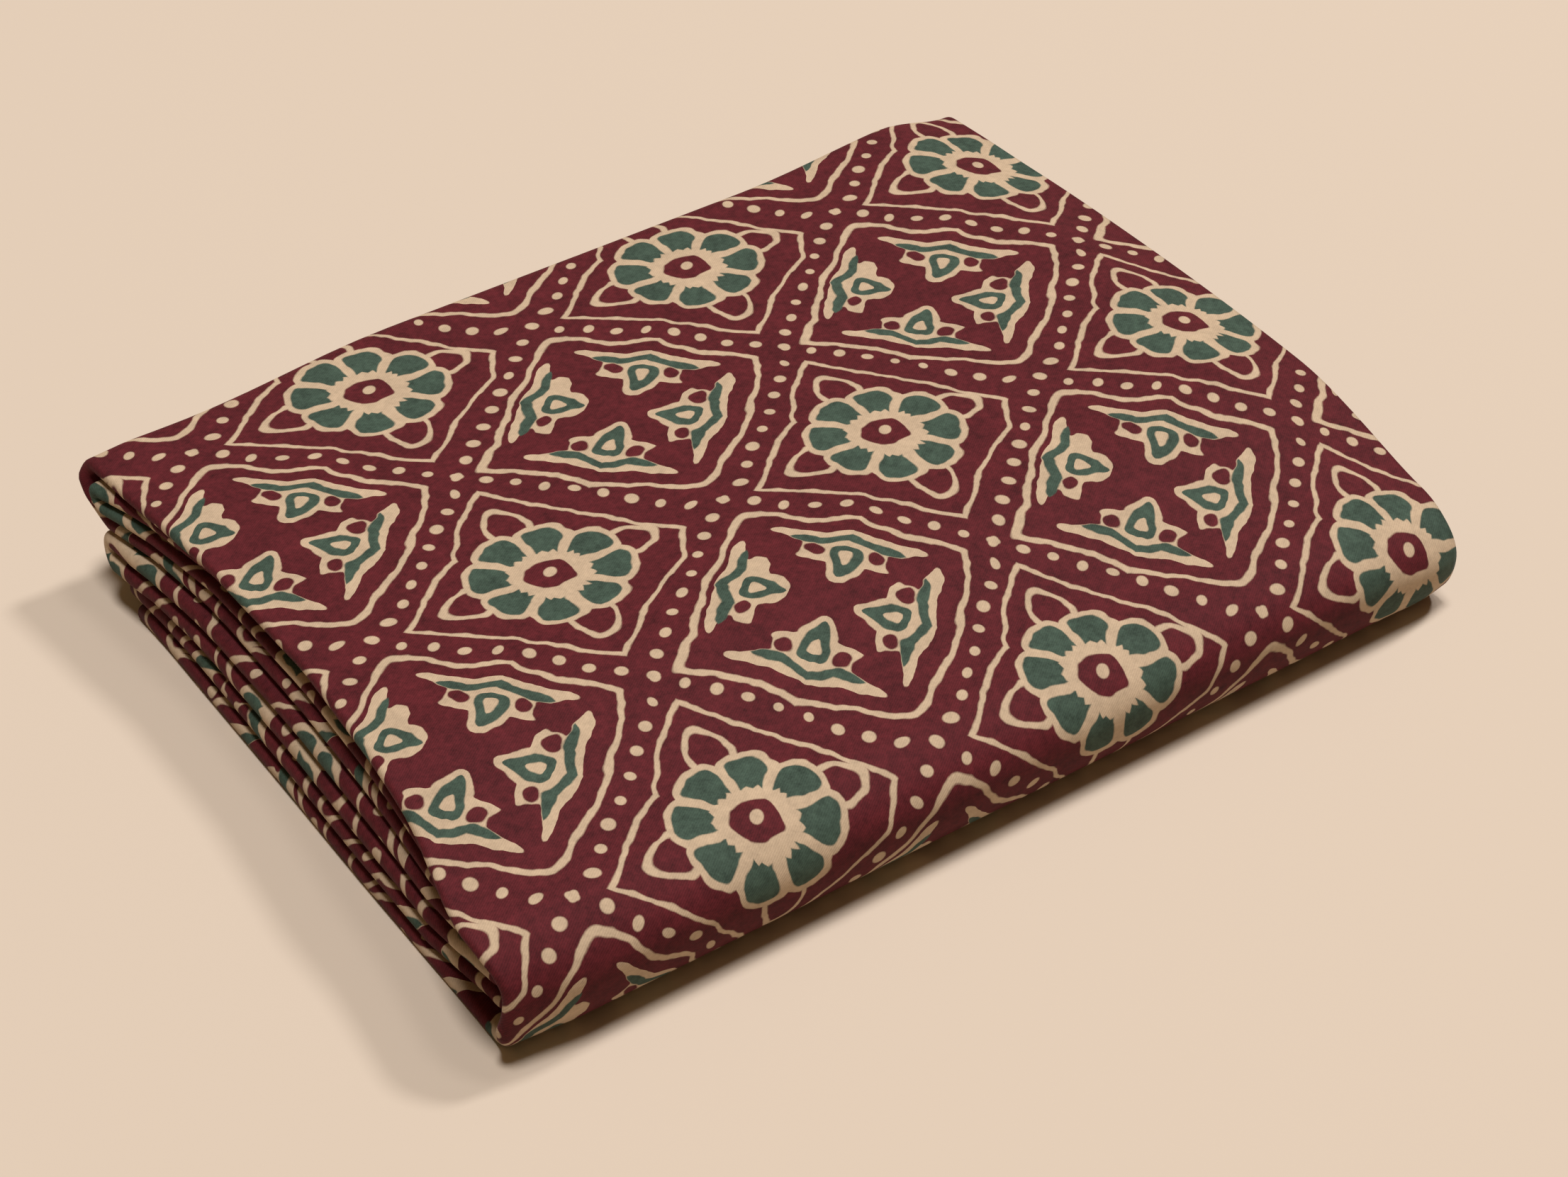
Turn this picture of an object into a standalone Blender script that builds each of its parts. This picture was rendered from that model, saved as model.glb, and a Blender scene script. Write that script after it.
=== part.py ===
"""A printed cotton cloth folded into a flat pack, as one solid sheet.

The sheet is doubled into a strip, with its turned edge on the left side of the pack (-X), and the strip is
folded in half three times along its length. That makes eight strips on top of each other, and the last fold
wraps them all at the front (-Y). Metres, +Z up, with the origin under the middle of the pack.
"""

import bmesh
import bpy
import numpy as np

MM = 0.001

# The cloth and the pack
SHEET = 1.0 * MM  # thickness of the sheet's solid
PITCH = 6.0 * MM  # height of one strip before the pack settles unevenly
PACK_WIDTH = 332.5 * MM  # turned edge to free edge, at the front
PACK_DEPTH = 237.0 * MM  # centre of the front fold to centre of the back fold, on the left side
LEFT_X = -170.5 * MM  # where the turned edge lies at the front
FRONT_Y = -110.0 * MM  # centre of the front fold at its left end
BACK_Y = 126.4 * MM  # centre of the back fold at its left end
FRONT_SKEW = 12.0 * MM  # how much further forward the front fold lies at its right end
BACK_SKEW = 7.0 * MM  # how much further back the back fold lies, past its left end
BACK_CORNER = 6.5 * MM  # how much further still at its right end
WIDENS = 17.0 * MM  # how much wider the pack is at the back
RIGHT_BOW = 6.0 * MM  # how far the right side bows out halfway along
RIGHT_TUCK = 1.0 * MM  # how far the right side is tucked in at the front fold
WRAP_LEFT = 4.4 * MM  # how much further left the outermost fold reaches at the front than its strips do
TUCK_LEFT = 3.6 * MM  # how far right the folds inside it are tucked there
WRAP_RIGHT = 1.5 * MM  # how far the outermost fold's free edges stand out
CORNER_ROUND = 0.16  # share of the front folds' reach lost at the pack's two front corners
BACK_LEAN = 0.55  # the back edges lie this much further in for each unit below the top strip

# The two layers of a strip, as distances from the strip's middle
LAYER_FLAT = 1.5 * MM
LAYER_RIDGE = 1.9 * MM  # the turned edge is a plump ridge
LAYER_FREE = 1.1 * MM  # the free edges lie closer together
RIDGE_REACH = 14.0 * MM
FREE_REACH = 18.0 * MM

# How the pack is pressed down
FRONT_PRESS = 0.20  # share of the height lost at the front fold
RIGHT_PRESS = 0.12
LEFT_PRESS = 0.03
CROWN = 0.015
LOWEST = 1.4 * MM  # the pack's weight presses the lowest layer this far into the flat it rests on

# A row for each strip of the pack, from the top down. along: its place along the cloth, 0 to 7. height: its
# share of the pack's height in mm. left: how far its ridge stands out in mm, at the stations below, from front
# to back. right: how far its free edges stand out in mm.
STATIONS = np.array([0.0, 0.28, 0.47, 0.71, 0.91, 1.0])
STRIPS = [
    {"along": 1, "height": 5.6, "left": [2.8, -1.5, -3.9, -1.9, 4.0, 7.0], "right": 1.5},
    {"along": 6, "height": 4.8, "left": [1.5, -3.5, -6.0, -4.5, 2.0, 8.5], "right": -1.5},
    {"along": 5, "height": 5.0, "left": [1.0, -2.5, -4.0, -2.5, 3.5, 9.0], "right": 0.5},
    {"along": 2, "height": 5.6, "left": [1.5, -0.5, -1.5, -0.5, 4.5, 9.0], "right": -0.5},
    {"along": 3, "height": 6.5, "left": [2.5, 2.5, 2.0, 3.5, 7.5, 10.5], "right": 2.0},
    {"along": 4, "height": 7.2, "left": [4.0, 5.0, 4.5, 5.5, 8.5, 12.0], "right": -1.0},
    {"along": 7, "height": 7.0, "left": [5.0, 6.5, 6.5, 7.0, 8.0, 9.5], "right": 1.0},
    {"along": 0, "height": 6.9, "left": [6.0, 7.5, 8.0, 9.0, 9.5, 10.5], "right": 0.0},
]

# A row for each fold across the strip. joins: the strips it joins, counted along the cloth. side: -1 front,
# 1 back. reach: how far in mm its centre lies behind the front line, or behind the back line. sag: 1 for a round
# lower half, and less for one that hangs fuller.
FOLDS = [
    {"joins": (0, 1), "side": -1, "reach": 0.0, "sag": 0.55},
    {"joins": (1, 2), "side": 1, "reach": 0.0, "sag": 1.0},
    {"joins": (2, 3), "side": -1, "reach": 5.0, "sag": 1.0},
    {"joins": (3, 4), "side": 1, "reach": 2.0, "sag": 1.0},
    {"joins": (4, 5), "side": -1, "reach": 3.0, "sag": 1.0},
    {"joins": (5, 6), "side": 1, "reach": -3.0, "sag": 1.0},
    {"joins": (6, 7), "side": -1, "reach": 1.5, "sag": 0.75},
]
WRAP_REACH = 45.0 * MM  # how far behind the front line the outermost fold's extra reach fades out
TUCK_REACH = 30.0 * MM  # and where the folds inside it stop being tucked in
WRAP_LOW = 2.0 * MM  # heights between which it grows, before the pack settles
WRAP_HIGH = 16.0 * MM
FIRST_END = -3.0 * MM  # where the cloth's two ends lie, from the back line
LAST_END = -1.0 * MM

# Faces of the grid
FACES_FLAT_ALONG = 6
FACES_FLAT_ACROSS = 8
FACES_WIDE_FOLD = 10
FACES_TIGHT_FOLD = 6
FACES_RIDGE = 6
WIDE_FOLD = 12.0 * MM  # radius above which a fold takes the finer count

MAROON = (0.110, 0.018, 0.028, 1.0)


def smooth(start, end, value):
    """0 before start, 1 after end, and a soft step between them."""
    share = np.clip((value - start) / (end - start), 0.0, 1.0)
    return share * share * (3.0 - 2.0 * share)


def strip_height(along):
    """Middle height of a strip before the pack settles, from its place in the stack."""
    order = [row["along"] for row in STRIPS]
    return (len(order) - 0.5 - order.index(along)) * PITCH


def run_wrap(along, straight):
    """The wrap on a straight strip, at its depth from the front line."""
    if along == 0:
        return 0.0
    if along == 1:
        return smooth(WRAP_REACH, 0.0, straight)
    return -smooth(TUCK_REACH, 0.0, straight)


def fold_path():
    """Stations of the strip's middle line as it runs to and fro: depth, height, wrap and the normal's parts.

    Depth is 0 at the centre of the front fold and PACK_DEPTH at the centre of the back fold. The wrap is 1 on
    the outermost fold and -1 on the folds inside it, and fades on the straight strips behind them.
    """
    rows = []
    depth = PACK_DEPTH + FIRST_END
    for fold in FOLDS:
        first, second = (strip_height(along) for along in fold["joins"])
        side = fold["side"]
        centre = (PACK_DEPTH if side > 0 else 0.0) + fold["reach"] * MM
        for share in np.linspace(0.0, 1.0, FACES_FLAT_ALONG, endpoint=False):
            straight = depth + (centre - depth) * share
            wrap = run_wrap(fold["joins"][0], straight)
            rows.append((straight, first, wrap))
        radius = abs(second - first) / 2.0
        rising = np.sign(second - first)
        faces = FACES_WIDE_FOLD if radius > WIDE_FOLD else FACES_TIGHT_FOLD
        for angle in np.linspace(0.0, np.pi, faces, endpoint=False):
            up = -rising * np.cos(angle)
            out = np.sin(angle) ** (fold["sag"] if up < 0.0 else 1.0)
            level = (first + second) / 2.0 + radius * up
            wrap = smooth(WRAP_LOW, WRAP_HIGH, level) if fold["joins"][0] == 0 else -1.0 * (side < 0)
            rows.append((centre + side * radius * out, level, wrap))
        depth = centre
    last = strip_height(FOLDS[-1]["joins"][1])
    for share in np.linspace(0.0, 1.0, FACES_FLAT_ALONG + 1):
        straight = depth + (PACK_DEPTH + LAST_END - depth) * share
        rows.append((straight, last, run_wrap(FOLDS[-1]["joins"][1], straight)))
    line = np.array(rows)
    run = np.gradient(line[:, :2], axis=0)
    run = run / np.linalg.norm(run, axis=1, keepdims=True)
    return line[:, 0], line[:, 1], line[:, 2], -run[:, 1], run[:, 0]


def strip_section():
    """The doubled strip's section, from one free edge round the ridge to the other.

    Gives the share of the way from the ridge to the free edge, how far the point lies beyond the ridge's
    centre, and its distance from the strip's middle.
    """
    share = np.linspace(1.0, 0.0, FACES_FLAT_ACROSS + 1) ** 1.35
    from_ridge = share * PACK_WIDTH
    layer = (
        LAYER_FLAT
        + (LAYER_RIDGE - LAYER_FLAT) * np.exp(-((from_ridge / RIDGE_REACH) ** 2))
        + (LAYER_FREE - LAYER_FLAT) * smooth(PACK_WIDTH - FREE_REACH, PACK_WIDTH, from_ridge)
    )
    angle = np.linspace(0.0, np.pi, FACES_RIDGE + 1)[1:-1]
    none = np.zeros_like(angle)
    return (
        np.concatenate([share, none, share[::-1]]),
        np.concatenate([0.0 * share, -LAYER_RIDGE * np.sin(angle), 0.0 * share]),
        np.concatenate([layer, LAYER_RIDGE * np.cos(angle), -layer[::-1]]),
    )


def edge_at(column, height, depth, wrap):
    """The left or right edge of the strip at a height in the stack, read between the rows of STRIPS."""
    place = np.clip(len(STRIPS) - 0.5 - height / PITCH, 0.0, len(STRIPS) - 1.0)
    edge = np.zeros(np.broadcast(height, depth).shape)
    for index, row in enumerate(STRIPS):
        weight = np.clip(1.0 - np.abs(place - index), 0.0, 1.0)
        value = np.interp(depth / PACK_DEPTH, STATIONS, row["left"]) if column == "left" else row["right"]
        edge = edge + weight * value * MM
    if column == "left":
        return LEFT_X - edge - np.where(wrap > 0.0, WRAP_LEFT, TUCK_LEFT) * wrap
    edge = edge + (WRAP_RIGHT - edge) * np.maximum(wrap, 0.0)
    share = np.clip(depth / PACK_DEPTH, -0.15, 1.05)
    bow = RIGHT_BOW * 4.0 * share * (1.0 - share)
    tuck = RIGHT_TUCK * smooth(30.0 * MM, -15.0 * MM, depth)
    return LEFT_X + PACK_WIDTH + WIDENS * share + bow + edge - tuck


def depth_to_y(depth, height, x):
    """Y of a point, with the front and back lines as skew as the pack's, and the back edges leaning in."""
    across = np.clip((x - LEFT_X) / PACK_WIDTH, -0.1, 1.1)
    front = FRONT_Y - FRONT_SKEW * across
    back = BACK_Y + BACK_SKEW * smooth(0.08, 0.32, across) + BACK_CORNER * smooth(0.75, 1.0, across)
    between = front + (back - front) * np.clip(depth / PACK_DEPTH, 0.0, 1.0)
    corner = smooth(0.055, -0.025, across) + smooth(0.95, 1.03, across)
    beyond = np.minimum(depth, 0.0) * (1.0 - CORNER_ROUND * corner) + np.maximum(depth - PACK_DEPTH, 0.0)
    top = strip_height(STRIPS[0]["along"])
    lean = BACK_LEAN * (top - height) * smooth(0.70, 1.0, depth / PACK_DEPTH)
    return between + beyond - lean


def settled(height, x, y, left, right):
    """Z of a point, once the strips have their uneven heights and the pack is pressed at its edges."""
    heights = np.array([row["height"] for row in STRIPS[::-1]]) * MM
    edges = np.concatenate([[0.0], np.cumsum(heights)])
    true = np.interp(height, np.arange(len(STRIPS) + 1) * PITCH, edges)
    across = np.clip((x - LEFT_X) / PACK_WIDTH, 0.0, 1.1)
    behind = y - FRONT_Y + FRONT_SKEW * across
    press = 1.0 - FRONT_PRESS * smooth(68.0 * MM, -2.0 * MM, behind)
    press = press * (1.0 - RIGHT_PRESS * smooth(right - 34.0 * MM, right, x))
    press = press * (1.0 - LEFT_PRESS * smooth(left + 18.0 * MM, left, x))
    waves = np.sin(x / (61.0 * MM) + 0.6) * np.sin(y / (47.0 * MM) + 0.3)
    return true * press * (1.0 + CROWN * waves) - LOWEST


def folded_points():
    """Every grid point of the folded sheet, as an array [across, along, xyz]."""
    depth, height, wrap, normal_depth, normal_height = (row[None, :] for row in fold_path())
    share, beyond, layer = (row[:, None] for row in strip_section())
    left = edge_at("left", height + 0.0 * layer, depth, wrap)
    right = edge_at("right", height + 0.0 * layer, depth, wrap)
    x = left + LAYER_RIDGE + (right - left - LAYER_RIDGE) * share + beyond
    own_height = height + layer * normal_height
    y = depth_to_y(depth + layer * normal_depth, own_height, x)
    z = settled(own_height, x, y, left, right)
    z = np.maximum(z, SHEET / 2.0)
    return np.stack([x, y, z], axis=-1)


def centred(points):
    """The points moved so that the pack's box is centred over the origin."""
    flat = points.reshape(-1, 3)
    middle = (flat.min(axis=0) + flat.max(axis=0)) / 2.0
    middle[2] = 0.0
    return points - middle


def cleared_scene():
    """Removes every object that the scene starts with."""
    for item in list(bpy.data.objects):
        bpy.data.objects.remove(item, do_unlink=True)


def cotton_material():
    """Dyed cotton satin: a maroon cloth with a soft sheen."""
    material = bpy.data.materials.new("maroon cotton")
    material.use_nodes = True
    shader = material.node_tree.nodes["Principled BSDF"]
    shader.inputs["Base Color"].default_value = MAROON
    shader.inputs["Roughness"].default_value = 0.75
    shader.inputs["Metallic"].default_value = 0.0
    return material


def folded_sheet(name, points):
    """A flat grid with a face between every four points, moved onto them and thickened."""
    across, along = points.shape[0] - 1, points.shape[1] - 1
    grid = bmesh.new()
    bmesh.ops.create_grid(grid, x_segments=across, y_segments=along, size=0.5)
    for vertex in grid.verts:
        column = round((vertex.co.x + 0.5) * across)
        row = round((vertex.co.y + 0.5) * along)
        vertex.co = points[column, row]
    mesh = bpy.data.meshes.new(name)
    grid.to_mesh(mesh)
    grid.free()
    mesh.shade_smooth()
    sheet = bpy.data.objects.new(name, mesh)
    sheet.data.materials.append(cotton_material())
    thicken = sheet.modifiers.new("cloth thickness", "SOLIDIFY")
    thicken.thickness = SHEET
    thicken.offset = 0.0
    return sheet


cleared_scene()
collection = bpy.data.collections.new("folded cloth")
bpy.context.scene.collection.children.link(collection)
collection.objects.link(folded_sheet("folded_cloth", centred(folded_points())))
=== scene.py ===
# %% [markdown]
# # A folded cloth with a block print
# The object is a cotton satin cloth, dyed maroon and printed with cream and teal motifs, and folded into a flat
# pack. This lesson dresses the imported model: it folds one thin sheet along the same path as the solid, lays the
# print on it as a pattern worked out by shader nodes, and lights it softly on a pale floor.

import bpy
import numpy as np
from mathutils import Matrix, Vector


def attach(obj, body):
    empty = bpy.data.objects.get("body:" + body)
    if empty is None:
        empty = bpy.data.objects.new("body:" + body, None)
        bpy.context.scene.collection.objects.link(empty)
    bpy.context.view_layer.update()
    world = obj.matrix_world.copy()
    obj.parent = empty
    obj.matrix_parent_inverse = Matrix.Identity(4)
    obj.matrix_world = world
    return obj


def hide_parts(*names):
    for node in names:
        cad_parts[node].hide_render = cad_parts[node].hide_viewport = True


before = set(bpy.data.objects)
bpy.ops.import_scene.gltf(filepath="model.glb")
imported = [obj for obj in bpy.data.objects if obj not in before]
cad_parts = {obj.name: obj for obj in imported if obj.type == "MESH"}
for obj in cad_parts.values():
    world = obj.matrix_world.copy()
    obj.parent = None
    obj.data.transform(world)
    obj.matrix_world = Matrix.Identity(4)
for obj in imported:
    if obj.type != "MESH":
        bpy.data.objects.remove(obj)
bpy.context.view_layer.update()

MM = 0.001

# %% [markdown]
# ## The camera
# A camera is a place, a direction and a lens. The pack's corners on the table fix all of them: seen from the
# front left and about forty degrees above the table, through a lens a little longer than normal. The matrix
# takes the camera's own axes as its columns: right, up, and back towards the viewer.

# %% Camera at the photograph's angle
CAMERA_PLACE = Vector((-0.359274, -0.536955, 0.527632))
CAMERA_RIGHT = Vector((0.8180712, -0.57465505, -0.02304537))
CAMERA_DOWN = Vector((-0.38257811, -0.51383975, -0.76785591))
CAMERA_FORWARD = Vector((0.42941064, 0.63697746, -0.64020795))

lens = bpy.data.cameras.new("camera")
lens.sensor_width = 36.0
lens.lens = 58.59
lens.clip_start = 0.01
camera = bpy.data.objects.new("camera", lens)
turned = Matrix((CAMERA_RIGHT, -CAMERA_DOWN, -CAMERA_FORWARD)).transposed()
camera.matrix_world = Matrix.Translation(CAMERA_PLACE) @ turned.to_4x4()
bpy.context.scene.collection.objects.link(camera)
bpy.context.scene.camera = camera
print("camera at", tuple(round(part, 3) for part in CAMERA_PLACE))

# %% [markdown]
# ## The path of the fold
# The real cloth was doubled along its length into a strip, and the strip was folded in half three times. So the
# whole pack is one strip that runs to and fro, front to back, through eight levels. A cloth simulation could
# fold it, but eight levels of thin cloth slide and catch for minutes and never land where the photograph shows
# them. Folding paper gives the better way: write the strip's middle line as a path of straight runs and half
# circles, and carry the strip's cross-section along it.

# %% Sizes of the pack, shared with the solid
PITCH = 6.0 * MM
PACK_WIDTH = 332.5 * MM
PACK_DEPTH = 237.0 * MM
LEFT_X = -170.5 * MM
FRONT_Y = -110.0 * MM
BACK_Y = 126.4 * MM
FRONT_SKEW = 12.0 * MM
BACK_SKEW = 7.0 * MM
BACK_CORNER = 6.5 * MM
WIDENS = 17.0 * MM
RIGHT_BOW = 6.0 * MM
RIGHT_TUCK = 1.0 * MM
WRAP_LEFT = 4.4 * MM
TUCK_LEFT = 3.6 * MM
WRAP_RIGHT = 1.5 * MM
WRAP_REACH = 45.0 * MM
TUCK_REACH = 30.0 * MM
WRAP_LOW = 2.0 * MM
WRAP_HIGH = 16.0 * MM
BACK_LEAN = 0.55
CORNER_ROUND = 0.16
FRONT_PRESS = 0.20
FRONT_PRESS_REACH = 68.0 * MM
RIGHT_PRESS = 0.12
RIGHT_PRESS_REACH = 34.0 * MM
LEFT_PRESS = 0.03
LEFT_PRESS_REACH = 18.0 * MM
CROWN = 0.015
WAVE_X = 61.0 * MM
WAVE_Y = 47.0 * MM
LOWEST = 1.4 * MM
MIDDLE = np.array([-0.496, 2.041, 0.0]) * MM

STATIONS = np.array([0.0, 0.28, 0.47, 0.71, 0.91, 1.0])
STRIPS = [
    {"along": 1, "height": 5.6, "left": [2.8, -1.5, -3.9, -1.9, 4.0, 6.3], "right": 1.5},
    {"along": 6, "height": 4.8, "left": [1.5, -3.5, -6.0, -4.5, 3.0, 9.8], "right": -1.5},
    {"along": 5, "height": 5.0, "left": [1.0, -2.5, -4.0, -2.5, 4.3, 10.0], "right": 0.5},
    {"along": 2, "height": 5.6, "left": [1.5, -0.5, -1.5, -0.5, 4.5, 9.0], "right": -0.5},
    {"along": 3, "height": 6.5, "left": [2.5, 2.5, 2.0, 3.5, 7.5, 10.5], "right": 2.0},
    {"along": 4, "height": 7.2, "left": [4.0, 5.0, 4.5, 5.5, 8.5, 12.0], "right": -1.0},
    {"along": 7, "height": 7.0, "left": [5.0, 6.5, 6.5, 7.0, 8.0, 9.5], "right": 1.0},
    {"along": 0, "height": 6.9, "left": [6.0, 7.5, 8.0, 9.0, 9.5, 10.5], "right": 0.0},
]
FOLDS = [
    {"joins": (0, 1), "side": -1, "reach": 0.0, "sag": 0.55},
    {"joins": (1, 2), "side": 1, "reach": 0.0, "sag": 1.0},
    {"joins": (2, 3), "side": -1, "reach": 5.0, "sag": 1.0},
    {"joins": (3, 4), "side": 1, "reach": 2.0, "sag": 1.0},
    {"joins": (4, 5), "side": -1, "reach": 3.0, "sag": 1.0},
    {"joins": (5, 6), "side": 1, "reach": -1.5, "sag": 1.0},
    {"joins": (6, 7), "side": -1, "reach": 1.5, "sag": 0.75},
]
FIRST_END = -3.0 * MM
LAST_END = -1.0 * MM
LEVELS = [row["along"] for row in STRIPS]
print(len(STRIPS), "strips,", len(FOLDS), "folds")


# %% The strip's middle line
def smooth(start, end, value):
    """0 before start, 1 after end, and between them 3 s^2 - 2 s^3 of the share s of the way."""
    share = np.clip((value - start) / (end - start), 0.0, 1.0)
    return share * share * (3.0 - 2.0 * share)


def strip_height(along):
    """A strip's middle height: its level counted from the bottom, times the pitch, plus half a pitch."""
    return (len(LEVELS) - 0.5 - LEVELS.index(along)) * PITCH


def run_wrap(along, straight):
    """The wrap on a straight run: it fades from the front line back, from 1 on the top strip, -1 inside."""
    if along == 0:
        return 0.0 * straight
    if along == 1:
        return smooth(WRAP_REACH, 0.0, straight)
    return -smooth(TUCK_REACH, 0.0, straight)


def middle_line():
    """Rows of (depth, height, wrap) along the cloth.

    On a straight run the depth goes evenly from one fold's centre to the next. Round a fold it is the centre
    plus the radius times the sine of an angle that goes from 0 to pi, and the height follows the cosine. The
    top run has the most rows, because it shows. The wrap is 1 on the outermost fold and -1 on those inside it.
    """
    rows = []
    depth = PACK_DEPTH + FIRST_END
    for fold in FOLDS:
        first, second = (strip_height(along) for along in fold["joins"])
        centre = (PACK_DEPTH if fold["side"] > 0 else 0.0) + fold["reach"] * MM
        count = 56 if fold["joins"][0] == 1 else 18
        share = np.linspace(0.0, 1.0, count, endpoint=False)
        straight = depth + (centre - depth) * share
        rows.append(np.stack([straight, first + 0.0 * share, run_wrap(fold["joins"][0], straight)], axis=1))
        radius = abs(second - first) / 2.0
        count = int(10 + radius / MM)
        angle = np.linspace(0.0, np.pi, count, endpoint=False)
        up = -np.sign(second - first) * np.cos(angle)
        out = np.where(up < 0.0, np.sin(angle) ** fold["sag"], np.sin(angle))
        level = (first + second) / 2.0 + radius * up
        wrap = smooth(WRAP_LOW, WRAP_HIGH, level) if fold["joins"][0] == 0 else -1.0 * (fold["side"] < 0)
        rows.append(np.stack([centre + fold["side"] * radius * out, level, wrap + 0.0 * level], axis=1))
        depth = centre
    last = strip_height(FOLDS[-1]["joins"][1])
    share = np.linspace(0.0, 1.0, 19)
    straight = depth + (PACK_DEPTH + LAST_END - depth) * share
    rows.append(np.stack([straight, last + 0.0 * share, run_wrap(FOLDS[-1]["joins"][1], straight)], axis=1))
    return np.concatenate(rows)


line = middle_line()
run = np.gradient(line[:, :2], axis=0)
run = run / np.linalg.norm(run, axis=1, keepdims=True)
steps = np.linalg.norm(np.diff(line[:, :2], axis=0), axis=1)
print("middle line:", len(line), "rows,", round(steps.sum(), 3), "m long")

# %% [markdown]
# ## The strip's section
# Cut across, the strip is a hairpin: two layers that meet in a plump turned edge on the pack's left side, and
# lie open on its right side. The top strip's turned edge is the thinnest, and the rest are plumper. The hairpin
# is a table of distances from the middle line and of places between the turned edge and the free edges, with
# more points near both edges, where the cloth bends.

# %% The hairpin
LAYER_FLAT = 1.5 * MM
LAYER_FREE = 1.1 * MM
RIDGES = np.array([1.75, 2.05, 2.15, 2.25, 2.35, 2.35, 2.35, 2.3]) * MM
RIDGE_REACH = 13.0 * MM
FREE_REACH = 18.0 * MM
COUNT_ACROSS = 46
COUNT_RIDGE = 14

even = np.linspace(1.0, 0.0, COUNT_ACROSS + 1)
flat_share = even - 0.125 * np.sin(2.0 * np.pi * even)
from_ridge = flat_share * PACK_WIDTH
ridge = np.interp(line[None, :, 1], np.arange(0.5, len(RIDGES)) * PITCH, RIDGES[::-1])
swell = (ridge - LAYER_FLAT) * np.exp(-((from_ridge[:, None] / RIDGE_REACH) ** 2))
closing = (LAYER_FREE - LAYER_FLAT) * smooth(PACK_WIDTH - FREE_REACH, PACK_WIDTH, from_ridge[:, None])
flat_layer = LAYER_FLAT + swell + closing
turn = np.linspace(0.0, np.pi, COUNT_RIDGE + 1)[1:-1]

share = np.concatenate([flat_share, 0.0 * turn, flat_share[::-1]])[:, None]
beyond = np.concatenate([0.0 * flat_layer, -ridge * np.sin(turn)[:, None], 0.0 * flat_layer])
layer = np.concatenate([flat_layer, ridge * np.cos(turn)[:, None], -flat_layer[::-1]])
bend = np.concatenate([0.0 * flat_share, turn, np.full(len(flat_share), np.pi)])[:, None]
print("hairpin:", len(share), "points across")


# %% [markdown]
# ## The pack's outline
# Nothing in a hand-folded pack is square. The front fold runs a little skew, the back is wider than the front,
# each turned edge sits a few millimetres in or out of its neighbours, and the stack is pressed thinner at the
# front and the right. Each of these is a small function that bends the straight pack, so they can be set one by
# one against the photograph.

# %% The functions that bend the pack
def edge_at(column, height, depth, wrap):
    """The left or right edge of the strip: a straight blend between the values of the two nearest levels.

    At the front the outermost fold reaches further left and the folds inside it are tucked in, and the
    outermost fold's free edges lie even.
    """
    place = np.clip(len(STRIPS) - 0.5 - height / PITCH, 0.0, len(STRIPS) - 1.0)
    edge = np.zeros(np.broadcast(height, depth).shape)
    for index, row in enumerate(STRIPS):
        weight = np.clip(1.0 - np.abs(place - index), 0.0, 1.0)
        value = np.interp(depth / PACK_DEPTH, STATIONS, row["left"]) if column == "left" else row["right"]
        edge = edge + weight * value * MM
    if column == "left":
        return LEFT_X - edge - np.where(wrap > 0.0, WRAP_LEFT, TUCK_LEFT) * wrap
    edge = edge + (WRAP_RIGHT - edge) * np.maximum(wrap, 0.0)
    along = np.clip(depth / PACK_DEPTH, -0.15, 1.05)
    bow = RIGHT_BOW * 4.0 * along * (1.0 - along)
    tuck = RIGHT_TUCK * smooth(30.0 * MM, -15.0 * MM, depth)
    return LEFT_X + PACK_WIDTH + WIDENS * along + bow + edge - tuck


def depth_to_y(depth, height, x):
    """Y from the depth: the front and back lines are skew, and the back edges lean in below the top."""
    across = np.clip((x - LEFT_X) / PACK_WIDTH, -0.1, 1.1)
    front = FRONT_Y - FRONT_SKEW * across
    back = BACK_Y + BACK_SKEW * smooth(0.08, 0.32, across) + BACK_CORNER * smooth(0.75, 1.0, across)
    between = front + (back - front) * np.clip(depth / PACK_DEPTH, 0.0, 1.0)
    corner = smooth(0.055, -0.025, across) + smooth(0.95, 1.03, across)
    past = np.minimum(depth, 0.0) * (1.0 - CORNER_ROUND * corner) + np.maximum(depth - PACK_DEPTH, 0.0)
    lean = BACK_LEAN * (strip_height(LEVELS[0]) - height) * smooth(0.70, 1.0, depth / PACK_DEPTH)
    return between + past - lean


def settled(height, x, y, left, right):
    """Z from the height: each level takes its own thickness, times the presses at the pack's edges."""
    heights = np.array([row["height"] for row in STRIPS[::-1]]) * MM
    edges = np.concatenate([[0.0], np.cumsum(heights)])
    true = np.interp(height, np.arange(len(STRIPS) + 1) * PITCH, edges)
    across = np.clip((x - LEFT_X) / PACK_WIDTH, 0.0, 1.1)
    behind = y - FRONT_Y + FRONT_SKEW * across
    press = 1.0 - FRONT_PRESS * smooth(FRONT_PRESS_REACH, -2.0 * MM, behind)
    press = press * (1.0 - RIGHT_PRESS * smooth(right - RIGHT_PRESS_REACH, right, x))
    press = press * (1.0 - LEFT_PRESS * smooth(left + LEFT_PRESS_REACH, left, x))
    waves = np.sin(x / WAVE_X + 0.6) * np.sin(y / WAVE_Y + 0.3)
    return true * press * (1.0 + CROWN * waves) - LOWEST
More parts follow.
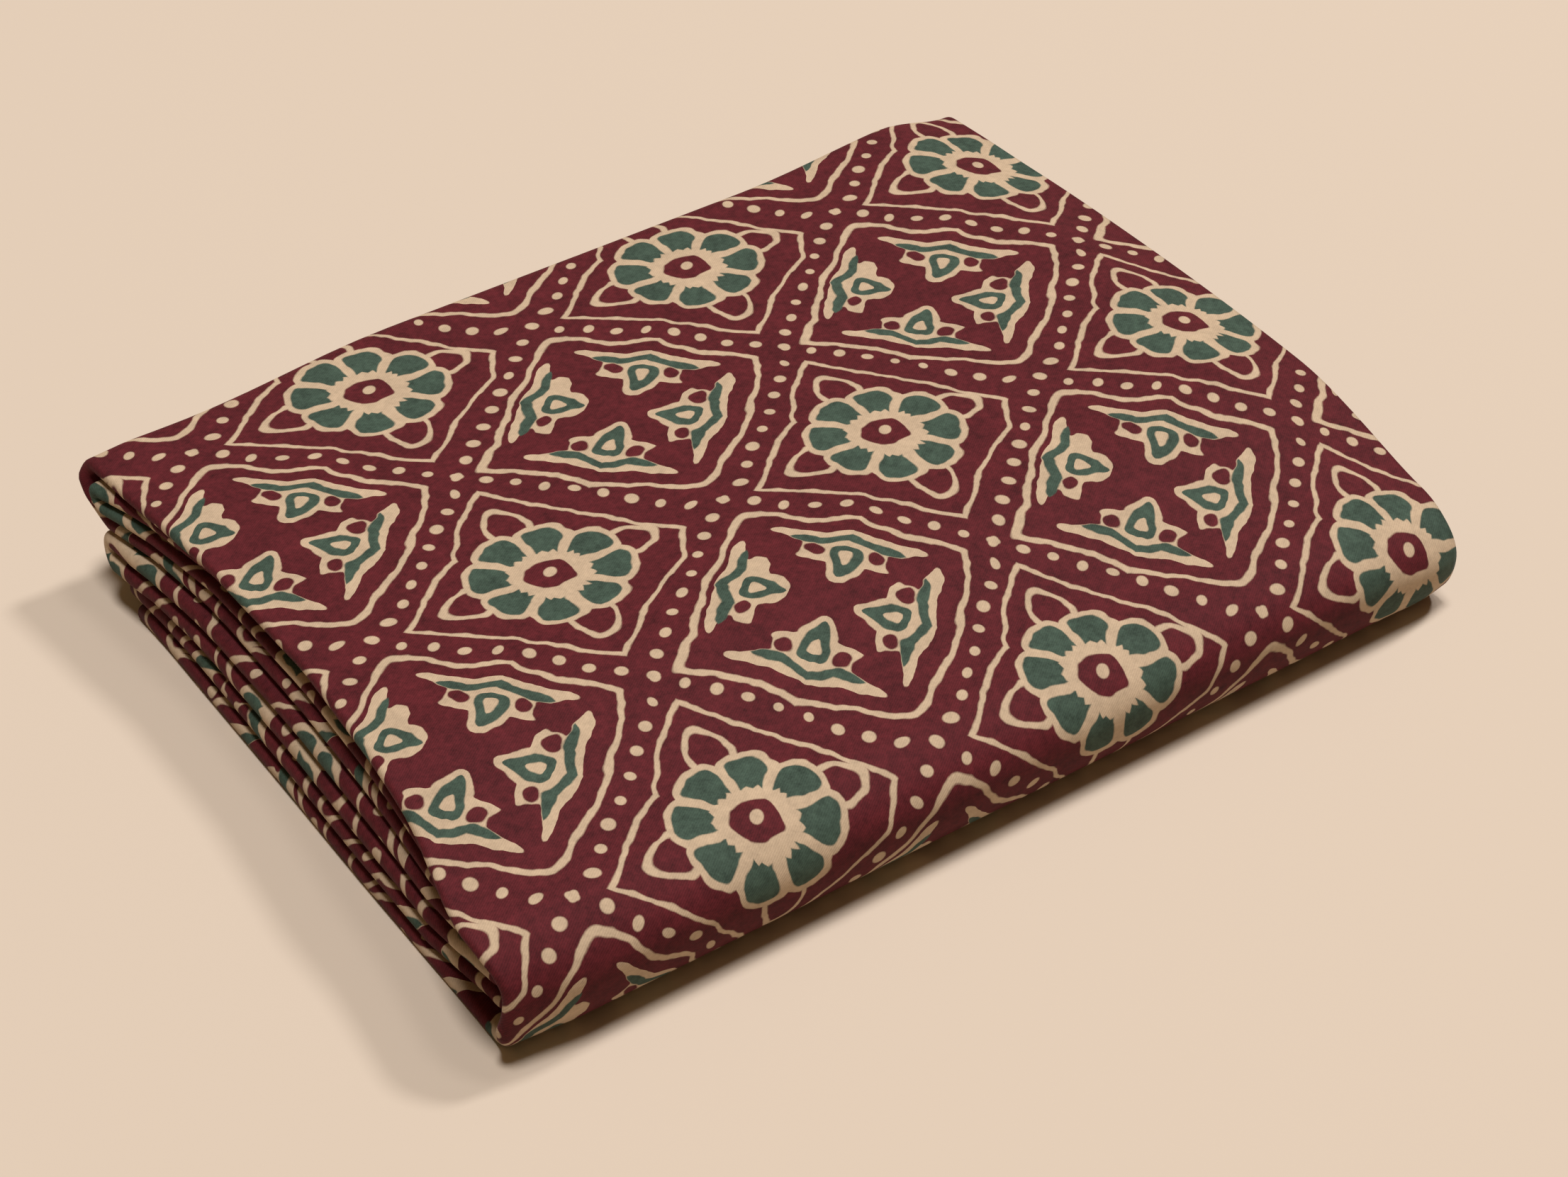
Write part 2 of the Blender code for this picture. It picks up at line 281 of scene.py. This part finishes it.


# %% [markdown]
# ## Creases and slack
# Cotton that has been pressed by hand keeps soft dents: a valley that runs in from a fold, a pucker where the
# corner was tucked, a faint wave between two creases. Each is a Gaussian trough or ridge along a short line,
# laid where the photograph shows one. They act on the height as a share of it, so that lower layers
# follow the upper ones and none of them cross.

# %% Dents listed one by one
DENTS = [
    {"start": (-150, 108), "end": (-60, 60), "width": 16.0, "deep": -0.6},
    {"start": (-168, 90), "end": (-120, 20), "width": 9.0, "deep": 0.5},
    {"start": (-60, -92), "end": (40, -40), "width": 20.0, "deep": -0.5},
    {"start": (60, -100), "end": (120, -30), "width": 14.0, "deep": 0.5},
    {"start": (20, 110), "end": (60, 40), "width": 18.0, "deep": -0.5},
    {"start": (120, 60), "end": (165, 100), "width": 15.0, "deep": -0.8},
]


def dents(x, y):
    """Sum of the dents: each is its depth times exp(-(d/width)^2), d the distance to its line."""
    total = 0.0 * x
    for dent in DENTS:
        start = np.array(dent["start"]) * MM
        way = np.array(dent["end"]) * MM - start
        along = np.clip(((x - start[0]) * way[0] + (y - start[1]) * way[1]) / (way @ way), 0.0, 1.0)
        away = np.hypot(x - start[0] - along * way[0], y - start[1] - along * way[1])
        total = total + dent["deep"] * MM * np.exp(-((away / (dent["width"] * MM)) ** 2))
    return total


# %% Fold the sheet
THICK = 0.55 * MM
TOP = len(STRIPS) * PITCH

depth, height, wrap = line[None, :, 0], line[None, :, 1], line[None, :, 2]
normal_depth, normal_height = -run[None, :, 1], run[None, :, 0]
left = edge_at("left", height, depth, wrap)
right = edge_at("right", height, depth, wrap)


def placed(offset):
    """The folded sheet's points when its layers lie offset from the middle line: arrays of x, y and z."""
    x = left + ridge + (right - left - ridge) * share + beyond
    own = height + offset * normal_height
    y = depth_to_y(depth + offset * normal_depth, own, x)
    z = settled(own, x, y, left, right) + dents(x, y) * (own / TOP) ** 2
    return x, y, np.maximum(z, THICK / 2.0)


x, y, z = placed(layer)
points = np.stack([x, y, z], axis=-1) - MIDDLE
print("folded sheet:", points.shape[0] * points.shape[1], "points")

# %% [markdown]
# ## Where each point lies on the flat cloth
# A print belongs to the flat cloth, not to space, so every point of the mesh needs its place on the flat cloth.
# Across the strip, that is the distance walked round the turned edge. Along the strip, it is the length of the
# middle line from a fixed place on the top level. Both go into a UV map in metres, and the print then runs
# round each fold without a break.

# %% Flat cloth coordinates
_, middle_y, middle_z = placed(0.0 * layer)
step = np.hypot(np.diff(middle_y, axis=1), np.diff(middle_z, axis=1))
walked = np.concatenate([np.zeros((len(share), 1)), np.cumsum(step, axis=1)], axis=1)
top_rows = np.flatnonzero((line[:, 1] == strip_height(LEVELS[0])) & (line[:, 0] < PACK_DEPTH))
start = np.array([
    np.interp(MIDDLE[1], middle_y[column, top_rows], walked[column, top_rows]) for column in range(len(share))
])
cloth_y = walked - start[:, None]
ridge_x = left + ridge
cloth_x = np.where(bend == 0.0, x, np.where(bend == np.pi, 2.0 * ridge_x - np.pi * ridge - x,
                                            ridge_x - ridge * bend)) - MIDDLE[0]

DRIFT_X = np.array([-0.2, 1.2, 1.4, -0.75, -3.3, 1.7])
DRIFT_Y = np.array([0.25, 0.0, 2.9, -0.1, -2.35, -1.0])
SLIPS = [
    {"at": (35, -14), "slip": (-2.0, -2.2)}, {"at": (-90, -12), "slip": (1.8, 1.8)},
    {"at": (-83, 108), "slip": (0.7, 3.0)}, {"at": (-96, -133), "slip": (1.4, 1.0)},
    {"at": (93, 39), "slip": (3.8, 2.1)}, {"at": (90, -83), "slip": (0.3, 2.2)},
    {"at": (-28, -72), "slip": (-2.9, -2.3)}, {"at": (-145, 57), "slip": (-1.0, -3.3)},
]
SLIP_REACH = 45.0 * MM


def print_drift(flat_x, flat_y):
    """The print's drift in metres: a quadratic of the place on the cloth, held still outside the top.

    To it come a few slips, where one block came down a little off its place: each fades as exp(-(d / reach)^2).
    """
    a, b = np.clip(flat_x / 0.1, -1.9, 1.9), np.clip(flat_y / 0.1, -1.6, 1.4)
    terms = np.stack([1.0 + 0.0 * a, a, b, a * a, a * b, b * b])
    drift_x, drift_y = np.tensordot(DRIFT_X, terms, 1), np.tensordot(DRIFT_Y, terms, 1)
    for row in SLIPS:
        away = np.hypot(flat_x - row["at"][0] * MM, flat_y - row["at"][1] * MM)
        near = np.exp(-((away / SLIP_REACH) ** 2))
        drift_x, drift_y = drift_x + near * row["slip"][0], drift_y + near * row["slip"][1]
    return drift_x * MM, drift_y * MM


drift_x, drift_y = print_drift(cloth_x, cloth_y)


# %% The sheet's mesh
def grid_mesh(name, grid_points, grid_uv):
    """A quad between every four neighbours of a grid [across, along], with a UV map called cloth."""
    across, along = grid_points.shape[:2]
    number = np.arange(across * along).reshape(across, along)
    quads = np.stack([number[:-1, :-1], number[:-1, 1:], number[1:, 1:], number[1:, :-1]], axis=-1)
    mesh = bpy.data.meshes.new(name)
    mesh.from_pydata(grid_points.reshape(-1, 3), [], quads.reshape(-1, 4))
    corner = np.zeros(len(mesh.loops), dtype=np.int32)
    mesh.loops.foreach_get("vertex_index", corner)
    uv = mesh.uv_layers.new(name="cloth")
    uv.data.foreach_set("uv", grid_uv.reshape(-1, 2)[corner].astype(np.float32).ravel())
    mesh.shade_smooth()
    return mesh


cloth_uv = np.stack([cloth_x + drift_x, cloth_y + drift_y], axis=-1)
mesh = grid_mesh("printed_cloth", points, cloth_uv)
cloth = bpy.data.objects.new("printed_cloth", mesh)
bpy.context.scene.collection.objects.link(cloth)
thicken = cloth.modifiers.new("cloth thickness", "SOLIDIFY")
thicken.thickness = THICK
thicken.offset = 0.0
print("mesh:", len(mesh.polygons), "quads before its thickness")

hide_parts("folded_cloth")
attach(cloth, "root")

# %% [markdown]
# ## Formulas as nodes
# The print was made with carved wooden blocks: one colour resists the dye, the next is printed inside it. Its
# edges are crisp and a little uneven. A painted image could hold it, but a picture has a fixed sharpness and
# belongs to one cloth. Here the motifs are written as formulas instead, and every sum becomes one Math node. A
# small class keeps that readable: a Field is a number that varies over the cloth, and + - * / on it add nodes.

# %% A number that varies over the cloth
dyed = bpy.data.materials.new("block printed cotton")
dyed.use_nodes = True
tree = dyed.node_tree
mesh.materials.append(dyed)


def linked(value, slot):
    """Puts a Field or a plain number into a node's input."""
    if isinstance(value, Field):
        tree.links.new(value.socket, slot)
    else:
        slot.default_value = value


def calc(operation, *values, clamp=False):
    """The Field that one Math node gives for these Fields and numbers."""
    node = tree.nodes.new("ShaderNodeMath")
    node.operation = operation
    node.use_clamp = clamp
    for slot, value in zip(node.inputs, values):
        linked(value, slot)
    return Field(node.outputs[0])


class Field:
    """A node's output, with arithmetic that adds Math nodes."""

    def __init__(self, socket):
        self.socket = socket

    def __add__(self, other):
        return calc("ADD", self, other)

    def __sub__(self, other):
        return calc("SUBTRACT", self, other)

    def __rsub__(self, other):
        return calc("SUBTRACT", other, self)

    def __mul__(self, other):
        return calc("MULTIPLY", self, other)

    def __truediv__(self, other):
        return calc("DIVIDE", self, other)

    def __abs__(self):
        return calc("ABSOLUTE", self)

    __radd__ = __add__
    __rmul__ = __mul__


def larger(*fields):
    """The largest of several Fields."""
    most = fields[0]
    for field in fields[1:]:
        most = calc("MAXIMUM", most, field)
    return most


def smaller(*fields):
    """The smallest of several Fields."""
    least = fields[0]
    for field in fields[1:]:
        least = calc("MINIMUM", least, field)
    return least


def length(a, b):
    """The square root of a^2 + b^2."""
    return calc("SQRT", a * a + b * b)


def step_up(field, start, end):
    """0 before start, 1 after end, with a soft step between."""
    node = tree.nodes.new("ShaderNodeMapRange")
    node.interpolation_type = "SMOOTHSTEP"
    for slot, value in zip(node.inputs, (field, start, end, 0.0, 1.0)):
        linked(value, slot)
    return Field(node.outputs[0])


def hump(field, width):
    """A bell: exp(-(field / width)^2)."""
    share = field * (1.0 / width)
    return calc("EXPONENT", share * share * -1.0)


def vector(a, b, c=0.0):
    """Three Fields as one vector."""
    node = tree.nodes.new("ShaderNodeCombineXYZ")
    for slot, value in zip(node.inputs, (a, b, c)):
        linked(value, slot)
    return node.outputs[0]


def parts(socket):
    """The three parts of a vector or colour as Fields."""
    node = tree.nodes.new("ShaderNodeSeparateXYZ")
    tree.links.new(socket, node.inputs[0])
    return tuple(Field(out) for out in node.outputs)


def noise(place, scale, detail=2.0):
    """Three soft random Fields, each about 0.5, that change over 1 / scale."""
    node = tree.nodes.new("ShaderNodeTexNoise")
    node.inputs["Scale"].default_value = scale
    node.inputs["Detail"].default_value = detail
    tree.links.new(place, node.inputs["Vector"])
    return parts(node.outputs["Color"])


def chance(a, b):
    """Three random Fields from 0 to 1, new ones for each whole a and b."""
    node = tree.nodes.new("ShaderNodeTexWhiteNoise")
    node.noise_dimensions = "2D"
    tree.links.new(vector(a, b), node.inputs["Vector"])
    return parts(node.outputs["Color"])


EDGE = 0.006


def inked(distance, edge=EDGE):
    """1 where a signed distance is below 0, and 0 outside, with a thin soft edge as dye has in cotton."""
    return calc("MULTIPLY_ADD", distance, -1.0 / edge, 0.5, clamp=True)


def outlined(distance, width):
    """1 on a line of this width along a shape's edge."""
    return inked(abs(distance) - width / 2.0)


def profile(field, points, base):
    """A half width read from a drawn curve of (place, half width) points, base where nothing is drawn."""
    node = tree.nodes.new("ShaderNodeFloatCurve")
    curve = node.mapping.curves[0]
    rows = [(0.0, base), *points, (0.5, base)]
    curve.points[0].location = (0.0, 0.0)
    curve.points[1].location = (1.0, 0.0)
    for place, half in rows[1:-1]:
        curve.points.new(place * 2.0, (half - base) * 2.0)
    for point in curve.points:
        point.handle_type = "AUTO_CLAMPED"
    node.mapping.update()
    linked(field * 2.0, node.inputs["Value"])
    return Field(node.outputs[0]) * 0.5 + base


print("helpers for the print are ready")

# %% [markdown]
# ## The grid of the print
# The blocks were set side by side at 42 degrees to the fold, 86 mm apart. Flower cells and palmette cells take
# turns as on a chessboard. The flat cloth's metres are turned and scaled into cells, rounding gives each cell's
# number, and what is left over is the place inside the cell, from -0.5 to 0.5. A block repeats its own
# unevenness each time it comes down, so the carved wobble is a noise of the place inside the cell, and the
# hand's drift from one print to the next is a second, slower noise of the whole cloth.

# %% Cells
REPEAT = 0.086
BLOCK_TURN = np.radians(42.0)
BLOCK_START = np.array([29.996, -18.293]) * MM

cloth_map = tree.nodes.new("ShaderNodeUVMap")
cloth_map.uv_map = "cloth"
flat_x, flat_y, _ = parts(cloth_map.outputs["UV"])
from_x = (flat_x - float(BLOCK_START[0])) * (1.0 / REPEAT)
from_y = (flat_y - float(BLOCK_START[1])) * (1.0 / REPEAT)
cos, sin = float(np.cos(BLOCK_TURN)), float(np.sin(BLOCK_TURN))
drift = noise(vector(from_x, from_y), 0.8, 1.0)
up = from_x * cos + from_y * sin + (drift[0] - 0.5) * 0.02 - 0.045
over = from_x * sin - from_y * cos + (drift[1] - 0.5) * 0.02

cell_up = calc("ROUND", up)
cell_over = calc("ROUND", over)
raw_p = up - cell_up
raw_q = over - cell_over
odd = calc("FLOORED_MODULO", cell_up + cell_over, 2.0)
carved = noise(vector(raw_p, raw_q, odd * 5.0), 6.5, 2.5)
p = raw_p + (carved[0] - 0.5) * 0.075
q = raw_q + (carved[1] - 0.5) * 0.075
print("a cell is", REPEAT, "m")

# %% [markdown]
# ## Rows of dots
# A single row of hand-cut dots runs between the cells, nine to a cell, none quite round. The dots sit in their
# own small cells along the line, and a random number for each gives its width, length and place. The row sways
# where a cell's outline pushes it aside.

# %% Dots between the cells
DOTS = 9.0


def dot_row(across, along, sway, kind):
    """Dots on the lines where across is half way between whole numbers: ellipses at even steps along."""
    number = calc("FLOOR", across)
    place = (along - 0.5) * DOTS
    dot = calc("ROUND", place)
    wide, tall, aside = chance(
        calc("FLOORED_MODULO", dot, 2.0 * DOTS), calc("FLOORED_MODULO", number, 2.0) + kind
    )
    half_wide = 0.0175 + wide * 0.011
    half_tall = 0.0175 + tall * 0.011
    from_line = across - number - 0.5 - sway - (aside - 0.5) * 0.018
    from_dot = (place - dot) * (1.0 / DOTS)
    return inked((length(from_line / half_wide, from_dot / half_tall) - 1.0) * 0.025)


def flower_before(part, odd_here):
    """1 where the cell on the lower side of the nearest line is a palmette cell."""
    return abs(odd_here - calc("LESS_THAN", part, 0.0))


ends_p = 1.0 - step_up(abs(raw_p), 0.36, 0.48)
ends_q = 1.0 - step_up(abs(raw_q), 0.36, 0.48)
palm_left = flower_before(raw_p, odd)
palm_below = flower_before(raw_q, odd)
sway_up = ends_q * (
    palm_left * hump(raw_q, 0.13) * 0.048 - (1.0 - palm_left) * step_up(raw_q, -0.1, 0.3) * 0.055
)
sway_over = ends_p * (palm_below * 0.048 - 0.012)
dots = larger(dot_row(up, over, sway_up, 3.0), dot_row(over, up, sway_over, 11.0))
print("dots:", int(DOTS), "to a cell")

# %% [markdown]
# ## The cells' outlines
# Each cell has a cream line round it that bulges or dips at the middle of its sides. A side is its own small
# formula, and the largest of the four distances is the distance to the whole box. A smooth maximum instead of
# the plain one rounds a corner, and two of the palmette cell's corners are rounded so.

# %% Outlines
FLOWER_LINE = 0.0205
PALM_LINE = 0.025


def kink(field, reach):
    """A pointed rise in the middle of a side: (1 - |field| / reach)^2, and 0 past the reach."""
    share = calc("MULTIPLY_ADD", abs(field), -1.0 / reach, 1.0, clamp=True)
    return share * share


flower_left = kink(q, 0.20) * 0.035 - 0.412
flower_right = 0.365 - q * 0.135 - kink(q, 0.20) * 0.012
flower_top = 0.386 + hump(p - 0.15, 0.12) * 0.062
flower_bottom = kink(p, 0.22) * 0.045 - 0.395
flower_box = larger(flower_left - p, p - flower_right, q - flower_top, flower_bottom - q)
flower_line = outlined(flower_box, FLOWER_LINE)

palm_box_left = kink(q, 0.20) * -0.030 - 0.445
palm_box_right = 0.424 - q * 0.03 + kink(q, 0.24) * 0.055
palm_box_top = 0.466 - p * p * 0.30
palm_box_bottom = kink(p, 0.20) * -0.016 - 0.430
rounded = calc("LESS_THAN", p * q, 0.0) * 0.16 + 0.02
palm_box = calc(
    "SMOOTH_MAX",
    larger(palm_box_left - p, p - palm_box_right),
    larger(q - palm_box_top, palm_box_bottom - q),
    rounded,
)
palm_line = outlined(palm_box, PALM_LINE)
print("outlines are 2 to 2.5 mm wide")

# %% [markdown]
# ## The flower
# Eight petals stand round a maroon eye, parted by cream lines and held by a scalloped cream rim. In polar
# coordinates all eight are one petal: the angle repeats every 45 degrees, and only the distance from the
# petal's own middle matters. Four buds grow from the rim on the diagonals, drawn the same way.

# %% Petals, rim, eye and buds
PETAL_START = 0.132
PETAL_END = 0.274
PARTING = 0.0195
RIM = 0.025
BUD_PLACE = 0.312
BUD_LINE = 0.0215

radius = length(p * 1.01, q * 0.955)
eighth = calc("FRACT", calc("ARCTAN2", q, p) * (4.0 / np.pi))
from_axis = abs(eighth - 0.5) * 2.0
petal_end = PETAL_END - calc("POWER", from_axis, 2.6) * 0.036
parting = radius * calc("SINE", (1.0 - from_axis) * (np.pi / 8.0))
jag = abs(calc("FRACT", eighth * 3.0 + carved[2] * 2.0) - 0.5) * 0.030
petal = calc("SMOOTH_MIN", smaller(parting - PARTING, radius - PETAL_START - jag), petal_end - radius, 0.042)
petals = inked(petal * -1.0)
rim = inked(radius - petal_end - RIM)

eye_round = length(p / (0.083 - calc("MAXIMUM", q, 0.0) * 0.36), q / 0.096) - 1.0
eye = inked(eye_round * 0.08)
pupil = inked(length((raw_p - 0.012) / 0.029, (raw_q + 0.006) / 0.023) * 0.026 - 0.026)

outward = (abs(p) + abs(q)) * 0.7071
sideways = (abs(p) - abs(q)) * 0.7071
lower = calc("LESS_THAN", q, 0.0)
narrowing = 1.0 + calc("MAXIMUM", outward - 0.31, 0.0) * (1.0 + lower * 2.2)
bud = length((outward - BUD_PLACE - lower * 0.010) / 0.112, sideways * narrowing / 0.079) - 1.0
buds = outlined(bud * 0.075, BUD_LINE)

flower_cream = larger(flower_line, buds * (1.0 - eye), rim)
flower_cream = larger(flower_cream * (1.0 - eye), pupil)
print("flower:", 8, "petals,", round(0.30 * 2 * REPEAT, 3), "m across")

# %% [markdown]
# ## The palmettes
# Four palmettes stand on the sides of the other cells, points inwards. One is drawn for all four: the larger
# of the two coordinates is its height and the other its width, and its outline is a half width that changes
# with height, drawn as a curve with a dozen points. The lowest of the four has rounder lobes, so it has a curve
# of its own, and it was cut with one hole instead of two.

# %% Palmettes
BASE = -0.02
LOWEST_OUT = 0.035
RIBBON_PLACE = 0.314
RIBBON_HALF = 0.0195
HOLE_PLACE = (0.258, 0.110)
HOLE_SIZE = (0.031, 0.036)
POINTED = [
    (0.082, -0.02), (0.100, 0.022), (0.150, 0.056), (0.178, 0.070), (0.190, 0.074), (0.198, 0.130),
    (0.212, 0.168), (0.240, 0.156), (0.285, 0.152), (0.299, 0.190), (0.322, 0.240), (0.346, 0.292),
    (0.360, 0.262), (0.370, 0.120), (0.388, 0.040), (0.404, -0.02),
]
LOBED = [
    (0.110, -0.02), (0.118, 0.030), (0.140, 0.062), (0.180, 0.078), (0.198, 0.086), (0.204, 0.140),
    (0.222, 0.178), (0.260, 0.184), (0.290, 0.162), (0.312, 0.186), (0.340, 0.262), (0.356, 0.232),
    (0.368, 0.100), (0.390, -0.02),
]
DROP = [
    (0.110, -0.02), (0.128, 0.012), (0.160, 0.030), (0.200, 0.047), (0.240, 0.056), (0.272, 0.054),
    (0.292, 0.038), (0.303, -0.02),
]
SEED = [(0.180, -0.02), (0.200, 0.009), (0.225, 0.020), (0.245, 0.025), (0.262, 0.019), (0.273, -0.02)]

upright = calc("LESS_THAN", abs(p), abs(q))
lowest = upright * lower
tall = larger(abs(p), abs(q)) - lowest * LOWEST_OUT
side = abs(upright * p + (1.0 - upright) * q)
lobed = profile(tall, LOBED, BASE)
pointed = profile(tall, POINTED, BASE)
half_width = pointed + (lobed - pointed) * lowest
palmette = inked(side - half_width)
drop = inked(side - profile(tall, DROP, BASE)) * (1.0 - inked(side - profile(tall, SEED, BASE)))
wave = RIBBON_PLACE + calc("MULTIPLY_ADD", side, -1.0 / 0.10, 1.0, clamp=True) * 0.042
ribbon_end = 1.0 - calc("POWER", side * (1.0 / 0.212), 7.0)
ribbon_half = RIBBON_HALF * ribbon_end + hump(side - 0.15, 0.05) * 0.004
ribbon = inked(abs(tall - wave) - ribbon_half)
hole_up, hole_aside = (tall - HOLE_PLACE[0]) / HOLE_SIZE[0], (side - HOLE_PLACE[1]) / HOLE_SIZE[1]
hole = inked((length(hole_up, hole_aside) - 1.0) * 0.032)
hole = hole * (1.0 - lowest * calc("GREATER_THAN", p, 0.0))

palm_cream = larger(palm_line, palmette * (1.0 - hole))
palm_teal = larger(drop, ribbon)
cream = larger(flower_cream + (palm_cream - flower_cream) * odd, dots)
teal = petals + (palm_teal - petals) * odd
print("palmettes:", 4, "to a cell")

# %% [markdown]
# ## Dye, weave and sheen
# The maroon is not one colour: the dye took unevenly and the yarn is slubby. Satin shows fine slanting lines
# about two thirds of a millimetre apart, which catch the light as a soft sheen. Each effect is a gentle change
# of brightness or a bump far finer than the print. The sheen is the same all over, so it is set straight on
# the shader.

# %% Colours
MAROON = (0.088, 0.0112, 0.0148, 1.0)
CREAM = (0.490, 0.360, 0.242, 1.0)
TEAL = (0.0462, 0.0725, 0.0535, 1.0)
SLANT = np.radians(36.5)
LINE_GAP = 0.00068
CLOUDS = 0.70
MOTTLE = 0.95
FIBRES = 0.70
SATIN = 0.12


def blend(share, first, second, kind="MIX"):
    """Two colours or sockets mixed by a Field or number."""
    node = tree.nodes.new("ShaderNodeMix")
    node.data_type = "RGBA"
    node.blend_type = kind
    linked(share, node.inputs[0])
    for slot, value in ((node.inputs[6], first), (node.inputs[7], second)):
        if isinstance(value, tuple):
            slot.default_value = value
        else:
            tree.links.new(value, slot)
    return node.outputs[2]


def grey(value):
    """A grey colour from a Field."""
    return vector(value, value, value)


flat_place = vector(flat_x, flat_y)
clouds = noise(flat_place, 75.0, 3.0)
mottle = noise(flat_place, 330.0, 2.0)
fibres = noise(flat_place, 1300.0, 1.0)
across_lines = flat_y * float(np.cos(SLANT)) - flat_x * float(np.sin(SLANT))
satin = calc("SINE", across_lines * (2.0 * np.pi / LINE_GAP) + (fibres[0] - 0.5) * 2.0)

inks = blend(cream, MAROON, CREAM)
inks = blend(teal, inks, TEAL)
uneven = (clouds[0] - 0.5) * CLOUDS + (mottle[0] - 0.5) * MOTTLE + (fibres[1] - 0.5) * FIBRES
tone = 1.0 + (uneven + satin * (SATIN - teal * 0.04)) * (1.0 - cream * (1.0 - teal) * 0.62)
painted = blend(1.0, inks, grey(tone), "MULTIPLY")

# %% Surface
shader = tree.nodes["Principled BSDF"]
tree.links.new(painted, shader.inputs["Base Color"])
shader.inputs["Roughness"].default_value = 0.72
shader.inputs["Specular IOR Level"].default_value = 0.12
shader.inputs["Sheen Weight"].default_value = 0.02
shader.inputs["Sheen Roughness"].default_value = 0.45
bump = tree.nodes.new("ShaderNodeBump")
bump.inputs["Strength"].default_value = 0.35
bump.inputs["Distance"].default_value = 0.00012
linked(satin * 0.5 + fibres[2], bump.inputs["Height"])
tree.links.new(bump.outputs["Normal"], shader.inputs["Normal"])
print("print:", len(tree.nodes), "nodes")

# %% [markdown]
# ## The floor and the light
# The pack lies on a plain pale surface. The main light is a large soft one almost overhead, and it leaves only
# a narrow shadow in front. Two weaker lights stand to the right and throw wide, faint shadows to the left.
# Light that comes back from a warm room is warmer than the lamps, so the world is a dim orange one, and it
# tints the shadows.

# %% Floor
FLOOR_REACH = 12.0
FLOOR_COLOUR = (0.600, 0.493, 0.396, 1.0)

floor_mesh = bpy.data.meshes.new("floor")
ways = ((-1.0, -1.0), (1.0, -1.0), (1.0, 1.0), (-1.0, 1.0))
corners = [(FLOOR_REACH * way_x, FLOOR_REACH * way_y, 0.0) for way_x, way_y in ways]
floor_mesh.from_pydata(corners, [], [(0, 1, 2, 3)])
floor = bpy.data.objects.new("floor", floor_mesh)
bpy.context.scene.collection.objects.link(floor)

paper = bpy.data.materials.new("pale floor")
paper.use_nodes = True
paper_shader = paper.node_tree.nodes["Principled BSDF"]
paper_shader.inputs["Base Color"].default_value = FLOOR_COLOUR
paper_shader.inputs["Roughness"].default_value = 0.9
floor_mesh.materials.append(paper)

# %% Light
WORLD_COLOUR = (1.0, 0.68, 0.34, 1.0)
WORLD_STRENGTH = 0.145
LAMP_COLOUR = (1.0, 0.995, 0.99)
LIGHT_REACH = 12.0

scene = bpy.context.scene
scene.view_settings.view_transform = "Standard"
world = bpy.data.worlds.new("studio")
world.use_nodes = True
world_shader = world.node_tree.nodes["Background"]
world_shader.inputs["Color"].default_value = WORLD_COLOUR
world_shader.inputs["Strength"].default_value = WORLD_STRENGTH
scene.world = world


def soft_light(name, way, size, power):
    """A round area light on the way given, as far off as LIGHT_REACH says, turned towards the pack."""
    lamp = bpy.data.lights.new(name, "AREA")
    lamp.shape = "DISK"
    lamp.size = size
    lamp.energy = power
    lamp.color = LAMP_COLOUR
    holder = bpy.data.objects.new(name, lamp)
    holder.location = Vector(way).normalized() * LIGHT_REACH
    holder.rotation_euler = Vector(way).to_track_quat("Z", "Y").to_euler()
    bpy.context.scene.collection.objects.link(holder)
    return holder


soft_light("light from above", (0.01, -0.045, 1.0), 3.0, 1040.0)
soft_light("light from the right", (0.80, 0.06, 1.0), 1.54, 590.0)
soft_light("light from the upper right", (0.40, 0.02, 1.0), 2.06, 176.0)
print("lights:", 3)
